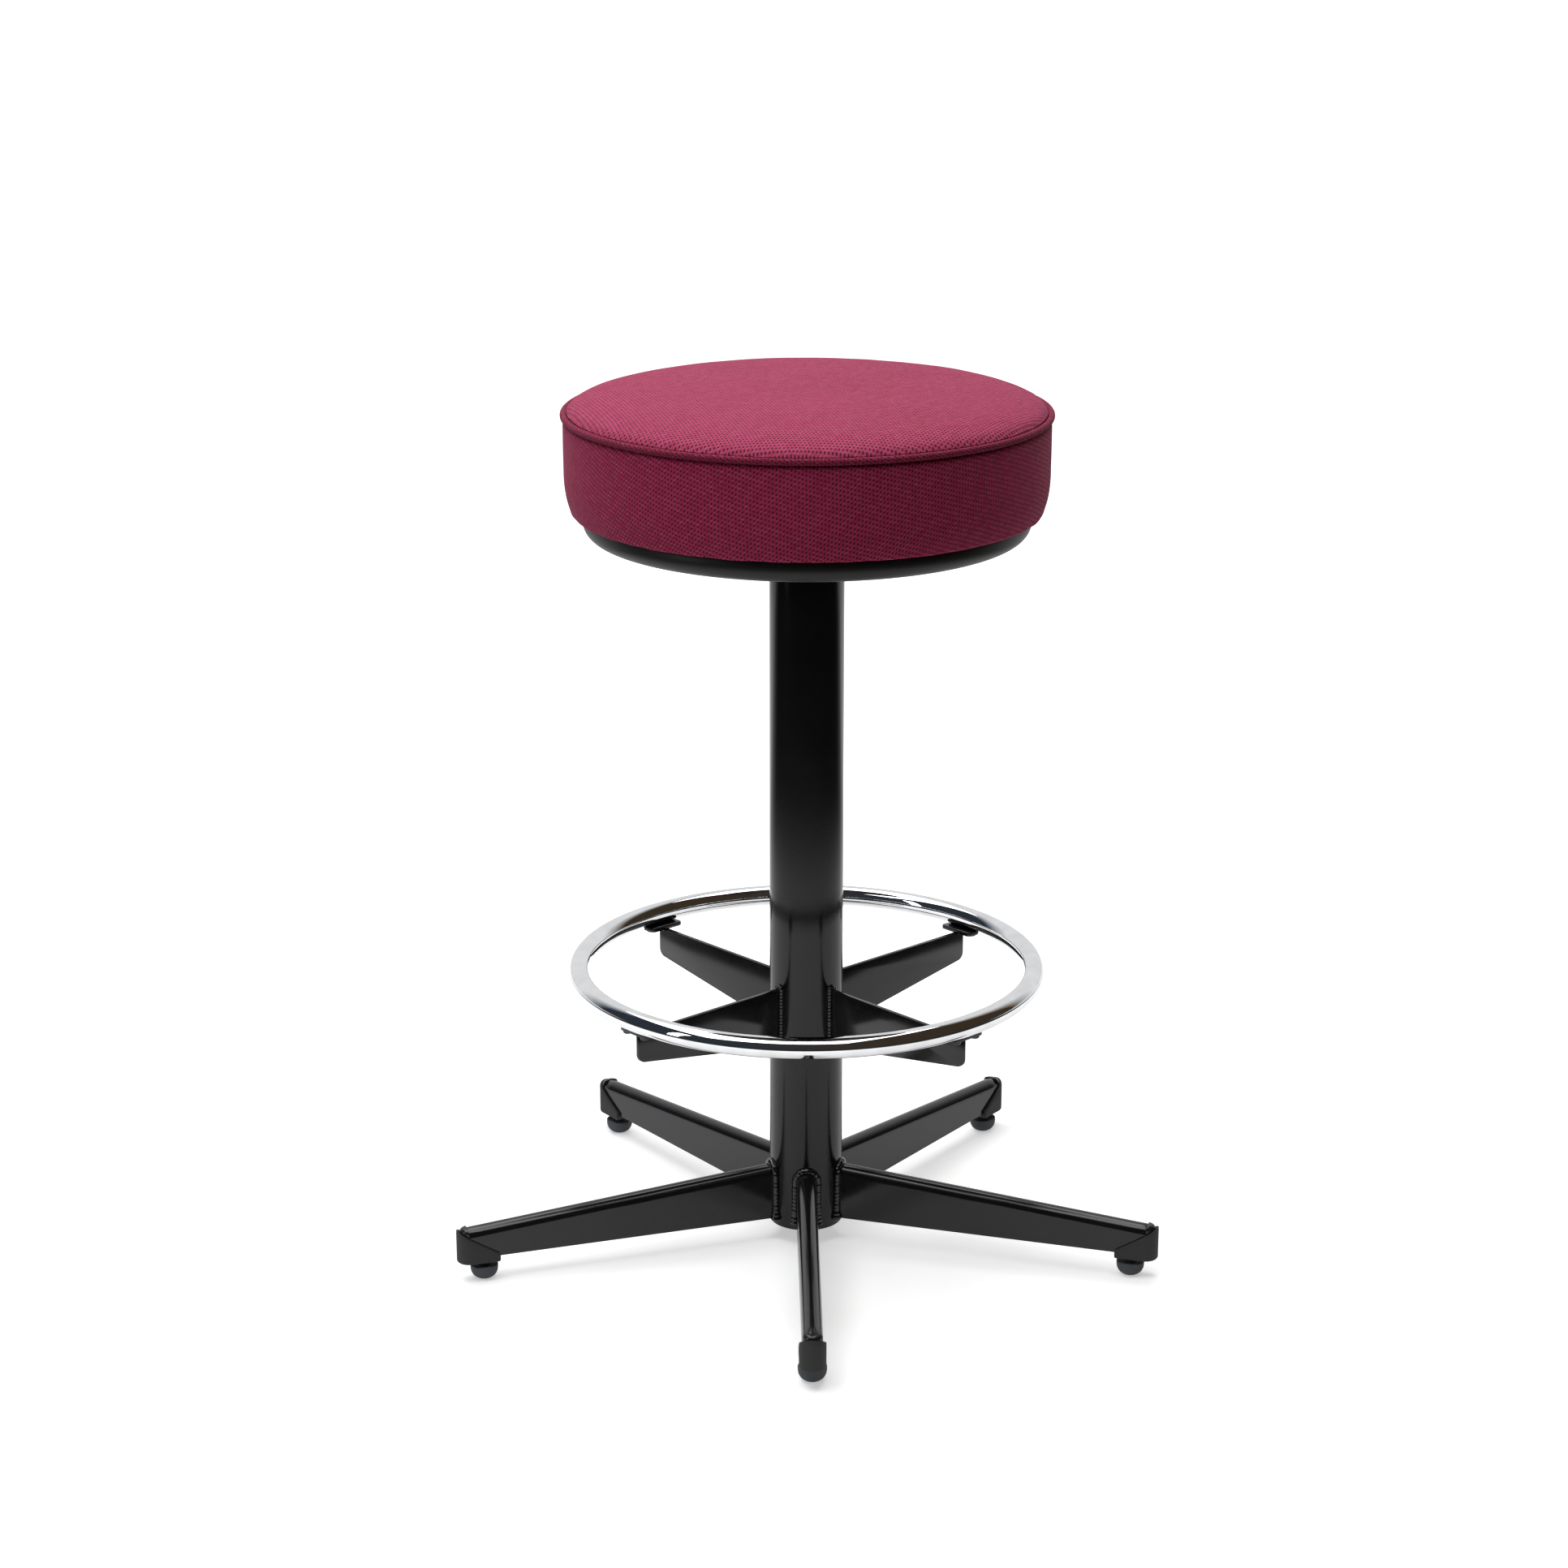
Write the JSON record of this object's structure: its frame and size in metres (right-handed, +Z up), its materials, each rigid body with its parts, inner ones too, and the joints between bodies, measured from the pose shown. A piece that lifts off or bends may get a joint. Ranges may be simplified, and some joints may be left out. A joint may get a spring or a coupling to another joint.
{
  "type": "bar stool",
  "caption": "Round upholstered swivel bar stool on a fixed column with a ring footrest and a five-arm base on levelling glides.",
  "frame": {"origin": "on the floor, on the column's axis, in the plane of the five glide flats", "axes": "+Z up along the column, -Y out along arm 1, +X to the right of a person who looks along +Y"},
  "size_m": [0.5708, 0.5438, 0.7201],
  "materials": {
    "black_paint": "satin black powder coat",
    "black_lacquer": "high-gloss black lacquer",
    "chrome": "bright chrome plate",
    "cap_plastic": "matt moulded black plastic",
    "glide_plastic": "dark grey plastic",
    "bush_plastic": "natural nylon",
    "black_screws": "black oxide screws",
    "steel": "bright zinc-plated steel",
    "plywood": "birch plywood",
    "foam": "upholstery foam",
    "dust_cloth": "black non-woven cloth",
    "seat_fabric": "wine-red woven wool mix"
  },
  "bodies": {
    "base": {"column": "black_paint", "column_plug": "cap_plastic", "arm_welds": "black_paint", "glide_inserts": "steel", "bracket_welds": "black_paint", "tab_welds": "black_paint", "ring_screws": "black_screws", "foot_ring": "chrome", "bearing_housing": "steel", "lower_bush": "bush_plastic", "upper_bush": "bush_plastic", "thrust_washer": "bush_plastic", "arm_1": "black_paint", "arm_2": "black_paint", "arm_3": "black_paint", "arm_4": "black_paint", "arm_5": "black_paint", "end_cap_1": "cap_plastic", "end_cap_2": "cap_plastic", "end_cap_3": "cap_plastic", "end_cap_4": "cap_plastic", "end_cap_5": "cap_plastic", "bracket_1": "black_paint", "bracket_2": "black_paint", "bracket_3": "black_paint", "bracket_4": "black_paint", "ring_tab_1": "black_paint", "ring_tab_2": "black_paint", "ring_tab_3": "black_paint", "ring_tab_4": "black_paint"},
    "seat": {"spindle": "steel", "end_washer": "steel", "retaining_clip": "steel", "hub_plate": "black_paint", "spider_arm_1": "black_paint", "spider_arm_2": "black_paint", "spider_arm_3": "black_paint", "spider_arm_4": "black_paint", "spider_welds": "black_paint", "seat_ring": "black_lacquer", "seat_board": "plywood", "seat_screws": "black_screws", "dust_cover": "dust_cloth", "foam_core": "foam", "cover_band": "seat_fabric", "cover_top": "seat_fabric", "piping": "seat_fabric"},
    "glide_1": {"glide_foot_1": "glide_plastic", "glide_stud_1": "steel"},
    "glide_2": {"glide_foot_2": "glide_plastic", "glide_stud_2": "steel"},
    "glide_3": {"glide_foot_3": "glide_plastic", "glide_stud_3": "steel"},
    "glide_4": {"glide_foot_4": "glide_plastic", "glide_stud_4": "steel"},
    "glide_5": {"glide_foot_5": "glide_plastic", "glide_stud_5": "steel"}
  },
  "joints": [
    {"name": "seat_swivel", "type": "hinge", "parent": "base", "child": "seat", "pos_m": [0, 0, 0.563], "axis": [0, 0, 1], "continuous": true},
    {"name": "glide_1_adjust", "type": "slide", "parent": "base", "child": "glide_1", "axis": [0, 0, -1], "range_m": [0, 0.008]},
    {"name": "glide_2_adjust", "type": "slide", "parent": "base", "child": "glide_2", "axis": [0, 0, -1], "range_m": [0, 0.008]},
    {"name": "glide_3_adjust", "type": "slide", "parent": "base", "child": "glide_3", "axis": [0, 0, -1], "range_m": [0, 0.008]},
    {"name": "glide_4_adjust", "type": "slide", "parent": "base", "child": "glide_4", "axis": [0, 0, -1], "range_m": [0, 0.008]},
    {"name": "glide_5_adjust", "type": "slide", "parent": "base", "child": "glide_5", "axis": [0, 0, -1], "range_m": [0, 0.008]}
  ]
}
